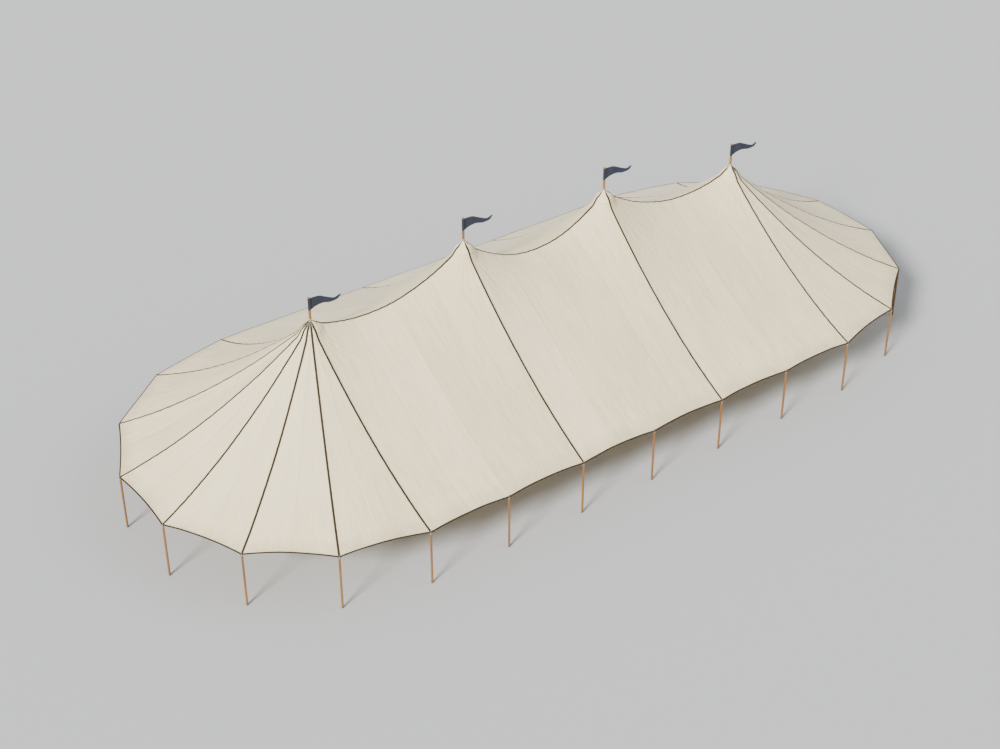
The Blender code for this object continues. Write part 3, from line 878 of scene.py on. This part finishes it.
def add_shaft(name, profile, place, number):
    """A pole in the place of the construction's own. Its grain is shifted so that no two look the same."""
    surface = turned(profile, POLE_SIDES, place)
    grain = surface[0] - [*place, GRAIN_SHIFT * number]
    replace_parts(add_piece(f"{name}_shaft", surface, wood_finish, "varnished_wood", grain=grain), name)


# %% Side poles
SIDE_RADIUS = 0.0375
PIN_RADIUS = 0.010
HEAD_SLOPE = 0.62
HEAD_REACH = 0.012
FERRULE_HEIGHT = 0.060
FERRULE_SIDES = 24
CLOTH_ROOM = 0.0153


def head_height(x, y):
    """Height of a side pole's head, just under the cloth a little way outwards from the ridge line."""
    way = np.array([x - np.clip(x, PEAK_X[0], PEAK_X[-1]), y])
    near = np.array([x, y]) + HEAD_REACH * way / np.linalg.norm(way)
    return canopy_height(near[:1], near[1:])[0] - CLOTH_ROOM + HEAD_SLOPE * (HEAD_REACH - PIN_RADIUS)


def side_shaft(shoulder):
    """A rounded foot, a straight shaft and a shoulder that the ferrule covers."""
    foot = [(0.031, 0.0), (0.0345, 0.0012), (0.0366, 0.0045), (SIDE_RADIUS, 0.009)]
    shaft = [(SIDE_RADIUS, height) for height in np.linspace(0.03, shoulder - FERRULE_HEIGHT - 0.005, 12)]
    return foot + shaft + [(SIDE_RADIUS - 0.0012, shoulder - drop) for drop in (FERRULE_HEIGHT, 0.004)]


def ferrule(shoulder, head):
    """A steel cap: a rolled lower edge, a straight wall, a cone up to the pin, and the pin with its tip."""
    low, wall = shoulder - FERRULE_HEIGHT, SIDE_RADIUS + 0.0006
    return [(SIDE_RADIUS - 0.001, low), (wall + 0.0012, low + 0.0003), (wall + 0.0018, low + 0.003),
            (wall + 0.0012, low + 0.0057), (wall, low + 0.007), (wall, shoulder - 0.004),
            (wall - 0.0008, shoulder - 0.001), (0.034, shoulder + 0.0015),
            (PIN_RADIUS + 0.004, head - HEAD_SLOPE * 0.004 - 0.0002), (PIN_RADIUS, head),
            (PIN_RADIUS, PIN_TOP - 0.006), (0.0088, PIN_TOP - 0.002), (0.0062, PIN_TOP)]


def eyelet(height):
    """A rolled brass ring that lies on the cloth round a pin: an ellipse as a closed outline."""
    turn = np.arange(8) * math.tau / 8
    return table(0.0195 + 0.0075 * np.cos(turn), height + 0.0045 + 0.0026 * np.sin(turn))


ferrules, eyelets = [], []
for number, (place, name) in enumerate(zip(SIDE_PLACES, SIDE_NAMES)):
    head = head_height(*place)
    shoulder = head - HEAD_SLOPE * (SIDE_RADIUS - PIN_RADIUS)
    add_shaft(name, side_shaft(shoulder), place, number)
    ferrules.append(turned(ferrule(shoulder, head), FERRULE_SIDES, place))
    ground = cloth_top(place[:1], place[1:])[0]
    eyelets.append(turned(eyelet(ground), FERRULE_SIDES, place, closed=True))
add_piece("side_pole_ferrules", stacked(ferrules), steel_finish, "galvanised_steel")
add_piece("pin_eyelets", stacked(eyelets), brass_finish, "galvanised_steel")

# %% [markdown]
# A centre pole has a turned neck at its top, where the pennant's sleeve goes round it, and a bead that keeps
# the sleeve on. Its peak ring is a steel collar with a flange under the canopy's crown, held by eight bolts.

# %% Centre poles and peak rings
CENTRE_RADIUS = 0.045
NECK_RADIUS = 0.040
BEAD_HEIGHT = 0.020
SLEEVE_HEIGHT = 0.45
SLEEVE_PLAY = 0.005
RING_SIDES = 64
RING_BOLTS = 8
BOLT_CIRCLE = 0.083


def centre_shaft(top):
    """A rounded foot, a straight shaft, the thinner neck and the bead with its rounded rim."""
    bead = top - BEAD_HEIGHT
    neck = bead - SLEEVE_PLAY - SLEEVE_HEIGHT - 0.0003
    foot = [(0.038, 0.0), (0.042, 0.0015), (0.0443, 0.005), (CENTRE_RADIUS, 0.010)]
    shaft = [(CENTRE_RADIUS, height) for height in np.linspace(0.03, neck - 0.02, 30)]
    return foot + shaft + [(CENTRE_RADIUS, neck - 0.002), (0.0444, neck), (NECK_RADIUS, neck),
                           (NECK_RADIUS, bead), (0.0435, bead), (CENTRE_RADIUS, top - 0.017),
                           (CENTRE_RADIUS, top - 0.007), (0.043, top - 0.0025), (0.039, top - 0.0003),
                           (0.034, top)]


def ring_collar(low, high):
    """A closed outline: up the bore, out over the flange, back under it and down the hub."""
    return [(0.0454, high - 0.001), (0.0454, low + 0.001), (0.047, low), (0.060, low), (0.062, low + 0.002),
            (0.062, high - 0.018), (0.0635, high - 0.013), (0.067, high - 0.0105), (0.098, high - 0.010),
            (0.100, high - 0.008), (0.100, high - 0.002), (0.098, high - 0.0002), (0.047, high - 0.0002)]


for number, place in enumerate(PEAK_PLACES):
    add_shaft(CENTRE_NAMES[number], centre_shaft(POLE_TOPS[number]), place, number + SIDE_POLES)
    low, high = (corner.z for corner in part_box(RING_NAMES[number]))
    bolt = [(0.007, high - 0.0165), (0.008, high - 0.0155), (0.008, high - 0.0098)]
    turns = math.tau * (np.arange(RING_BOLTS) + 0.5) / RING_BOLTS
    ring = [turned(ring_collar(low, high), RING_SIDES, place, closed=True)]
    ring += [turned(bolt, 6, spot(place, BOLT_CIRCLE, turn)) for turn in turns]
    piece = add_piece(f"{RING_NAMES[number]}_collar", stacked(ring), steel_finish, "galvanised_steel")
    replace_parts(piece, RING_NAMES[number])

# %% [markdown]
# Rain would run in where a centre pole goes through the canopy. A cloth boot covers the opening: a cone with
# its hem on the canopy and its neck strapped round the pole. It also gives the tent its sharp peaks. Its
# profile could be turned like a pole's, but it changes with the direction, because the hem lies on the
# canopy's curve.

# %% Shape of a boot
BOOT_RADIUS = 0.36
BOOT_NECK = 0.0478
BOOT_TOP = 0.07
BOOT_COLLAR = 0.060
BOOT_REST = 0.004
BOOT_PLEATS = 14
BOOT_PLEAT_DEPTH = 0.006
BOOT_GATHER = 0.0012
BOOT_CORNER = 0.0025
BOOT_SIDES = 112
CONE_LENGTH = 0.47


def boot_height(number, x, y):
    """The hem's height mixed with the neck's by the share of the way up, with waves that rise and fall as the
    bump. Where the canopy stands higher, the larger of the two, rounded off by a root."""
    reach, turn = polar(x, y, PEAK_PLACES[number])
    share = (BOOT_RADIUS - reach) / (BOOT_RADIUS - BOOT_NECK)
    hem = cloth_top(*spot(PEAK_PLACES[number], BOOT_RADIUS, turn)) + BOOT_REST
    cone = hem * (1 - share) + (PEAKS[number] + BOOT_TOP) * share
    cone = cone + BOOT_PLEAT_DEPTH * np.cos(BOOT_PLEATS * turn) * bump(share)
    ground = cloth_top(x, y) + BOOT_REST
    return (cone + ground) / 2 + np.hypot((cone - ground) / 2, BOOT_CORNER)


def boot_surface(number):
    """Up the cone, then straight up the gathered collar. The lining is a little lower and nearer the pole.
    Also gives each point's distance from the hem."""
    turn = np.arange(BOOT_SIDES)[:, None] * math.tau / BOOT_SIDES
    share = np.linspace(0.0, 1.0, 25)
    radius = BOOT_RADIUS * (1 - share) + BOOT_NECK * share + 0 * turn
    cone = boot_height(number, *spot(PEAK_PLACES[number], radius, turn))
    rise = np.array([0.15, 0.35, 0.5, 0.65, 0.85, 1.0])
    collar = PEAKS[number] + BOOT_TOP + BOOT_COLLAR * rise + 0 * turn
    gather = BOOT_GATHER * (1 + np.cos(2 * BOOT_PLEATS * turn)) * np.abs(2 * rise - 1)
    sides = []
    for radii, heights in (((radius, BOOT_NECK + 0.0006 + gather), (cone, collar)),
                           ((radius - 0.0012, BOOT_NECK - 0.0016 + 0 * gather), (cone - 0.0016, collar))):
        reach, height = np.concatenate(radii, 1), np.concatenate(heights, 1)
        sides.append(table(*spot(PEAK_PLACES[number], reach, turn), height))
    edge = np.append(CONE_LENGTH * share, CONE_LENGTH + BOOT_COLLAR * rise)
    surface = thickened(sides[0], grid_faces(*height.shape, closed_rows=True), sides[1])
    return surface, np.tile(edge, 2 * BOOT_SIDES)


def boot_bands(number):
    """The webbing of every seam that meets the peak runs on to the boot's neck. It narrows in step with the
    distance from the pole, so that the bands never meet."""
    turns = [*ACROSS_TURNS, *END_TURNS.get(number, ())]
    turns += [0.0] * (number < CENTRE_POLES - 1) + [math.pi] * (number > 0)
    reach = np.linspace(BOOT_RADIUS + 0.003, BOOT_NECK + 0.002, 33)
    width = np.minimum(WEBBING_WIDTH, 0.40 * reach)
    return [ribbon(table(*spot(PEAK_PLACES[number], reach, turn)), width,
                   ground=lambda x, y: boot_height(number, x, y)) for turn in turns]


# %% Boots and their straps
STRAP_RADIUS = 0.0516
STRAP_HEIGHT = 0.026


def strap_profile(middle):
    """A closed outline: a flat band with rounded edges."""
    upper = [(STRAP_RADIUS, 0.011), (STRAP_RADIUS - 0.0011, STRAP_HEIGHT / 2), (BOOT_NECK, STRAP_HEIGHT / 2)]
    lower = [(radius, -height) for radius, height in reversed(upper)]
    return np.array(lower + upper) + [0.0, middle]


for number, place in enumerate(PEAK_PLACES):
    surface, edge = boot_surface(number)
    boot = add_piece(f"peak_boot_{number + 1}", surface, sailcloth_strip, "sailcloth", crease=60.0, edge=edge)
    add_ribbons(f"boot_webbing_{number + 1}", boot_bands(number), webbing_finish)
    middle = PEAKS[number] + BOOT_TOP + BOOT_COLLAR / 2
    surface = turned(strap_profile(middle), 48, place, closed=True)
    x, y, height = surface[0].T
    strap = add_piece(f"boot_strap_{number + 1}", surface, webbing_finish, "sailcloth",
                      uv=table(height - middle, polar(x, y, place)[1] * STRAP_RADIUS))

# %% [markdown]
# The pennants fly from the pole heads. Each is a long triangle of dyed bunting, hemmed, with a sleeve sewn
# along its hoist. A cloth solver would blow each one about by chance. Here the wind's wave is worked out, so
# that it grows towards the tip and the tip curls up, as it is drawn.

# %% Shape of a pennant
PENNANT_LENGTH = 1.11
PENNANT_TURN = math.radians(-10.0)
PENNANT_WAVE = 0.085
PENNANT_RIPPLE = 0.011
PENNANT_SWAY = 0.04
PENNANT_RISE = 0.065
TIP_HALF = 0.008
SLEEVE_RADIUS = 0.0456
BUNTING_THICKNESS = 0.0016
FLY_STEPS, HOIST_STEPS = 101, 25


def pennant_blade(place, hoist_top):
    """The sway is a sine that grows along the fly, with a smaller quick one on top, and the middle line sinks
    and rises as another sine. Each step along the fly narrows towards the tip."""
    share, across = np.linspace(0, 1, FLY_STEPS)[:, None], np.linspace(-1, 1, HOIST_STEPS)
    reach = SLEEVE_RADIUS - 0.001 + (PENNANT_LENGTH - SLEEVE_RADIUS) * share
    sway = PENNANT_WAVE * share * np.sin(1.1 * math.tau * share + 0.35 * across * share)
    sway = sway + PENNANT_RIPPLE * np.sqrt(share) * np.sin(3.4 * math.tau * share + 1.3 * across)
    middle = -SLEEVE_HEIGHT / 2 + PENNANT_RISE * share + PENNANT_SWAY * np.sin(math.tau * share)
    half = TIP_HALF + (SLEEVE_HEIGHT / 2 - 0.014) * (1 - share)
    x, y = spot(spot(place, reach, PENNANT_TURN), sway, PENNANT_TURN + math.pi / 2)
    points = table(x, y, hoist_top + middle + across * half)
    edge = np.minimum((1 - np.abs(across)) * half, PENNANT_LENGTH * (1 - share) + 0.004).ravel()
    half_thick = np.array([-math.sin(PENNANT_TURN), math.cos(PENNANT_TURN), 0.0]) * BUNTING_THICKNESS / 2
    surface = thickened(points - half_thick, grid_faces(FLY_STEPS, HOIST_STEPS), points + half_thick)
    return surface, np.tile(edge, 2), np.tile(table(reach, across * half), (2, 1))


def pennant_sleeve(hoist_top):
    """A closed outline of a cloth tube with a rolled hem at both ends and a soft wall between them."""
    low = hoist_top - SLEEVE_HEIGHT
    hem = np.array([(0.0436, 0.002), (0.0440, 0.0), (SLEEVE_RADIUS, 0.0), (SLEEVE_RADIUS + 0.0008, 0.008),
                    (SLEEVE_RADIUS + 0.0002, 0.016)])
    wall = table(SLEEVE_RADIUS + 0.0005 * np.sin(9.0 * np.arange(25)),
                 np.linspace(low + 0.02, hoist_top - 0.02, 25))
    return np.concatenate([hem + [0.0, low], wall, hem[::-1] * [1.0, -1.0] + [0.0, hoist_top]])


for number, place in enumerate(PEAK_PLACES):
    body = f"pennant_{number + 1}"
    hoist_top = POLE_TOPS[number] - BEAD_HEIGHT - SLEEVE_PLAY
    surface, edge, uv = pennant_blade(place, hoist_top)
    blade = add_piece(f"{body}_blade", surface, bunting_finish, "pennant_cloth", body, uv=uv, edge=edge)
    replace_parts(blade, body)
    surface = turned(pennant_sleeve(hoist_top), POLE_SIDES, place, closed=True)
    x, y, height = surface[0].T
    sleeve = add_piece(f"{body}_sleeve", surface, bunting_finish, "pennant_cloth", body,
                       uv=table(polar(x, y, place)[1] * SLEEVE_RADIUS, height - hoist_top),
                       edge=np.minimum(height - hoist_top + SLEEVE_HEIGHT, hoist_top - height))

# %% [markdown]
# The stage: a plain pale floor, one broad soft sun from the left so that the canopy's curves show, a weak one
# from the right, and the camera where the picture was drawn from, solved from the picture's poles and peaks.

# %% Floor, lights and camera
FLOOR_HALF = 500.0
FLOOR_COLOUR = "#999A9C"
SKY_COLOUR = "#F1F4F8"
SKY_LIGHT = 1.05
CAMERA_PLACE = (-32.452, -42.793, 37.373)
CAMERA_TURN = math.radians(-35.871)
CAMERA_TILT = math.radians(34.386)
CAMERA_ROLL = math.radians(-0.151)
CAMERA_LENS = 64.467


def add_sun(name, way, strength, colour, width):
    """A distant lamp that shines from a direction, with soft shadows as wide as its angle in degrees."""
    lamp = bpy.data.lights.new(name, "SUN")
    lamp.energy = strength
    lamp.color = colour
    lamp.angle = math.radians(width)
    add_object(name, lamp).rotation_euler = Vector(way).to_track_quat("Z", "Y").to_euler()


def matt_paint(add, colour):
    """One plain colour all over."""
    return add("BsdfPrincipled", Base_Color=colour, Roughness=0.95)


corners = FLOOR_HALF * np.array([(-1, -1, 0), (1, -1, 0), (1, 1, 0), (-1, 1, 0)])
floor_finish = new_material("matt_studio_floor", matt_paint, FLOOR_COLOUR)
add_mesh("floor", corners, np.array([[0, 1, 2, 3]]), floor_finish)
add_sun("key_sun", (-1.0, -0.42, 0.72), 10.1, (1.0, 0.975, 0.925), 14.0)
add_sun("fill_sun", (0.9, -0.7, 0.9), 1.1, (0.93, 0.96, 1.0), 40.0)
world = bpy.data.worlds.new("studio")
world.use_nodes = True
sky = world.node_tree.nodes["Background"].inputs
sky["Color"].default_value = linear(SKY_COLOUR)
sky["Strength"].default_value = SKY_LIGHT
bpy.context.scene.world = world
camera = add_object("camera", bpy.data.cameras.new("camera"))
camera.data.lens = CAMERA_LENS
camera.data.clip_end = 4 * FLOOR_HALF
camera.matrix_world = (Matrix.Translation(CAMERA_PLACE) @ Matrix.Rotation(CAMERA_TURN, 4, "Z")
                       @ Matrix.Rotation(math.pi / 2 - CAMERA_TILT, 4, "X")
                       @ Matrix.Rotation(CAMERA_ROLL, 4, "Z"))
bpy.context.scene.camera = camera
print("camera at", CAMERA_PLACE, "with a lens of", CAMERA_LENS, "mm")
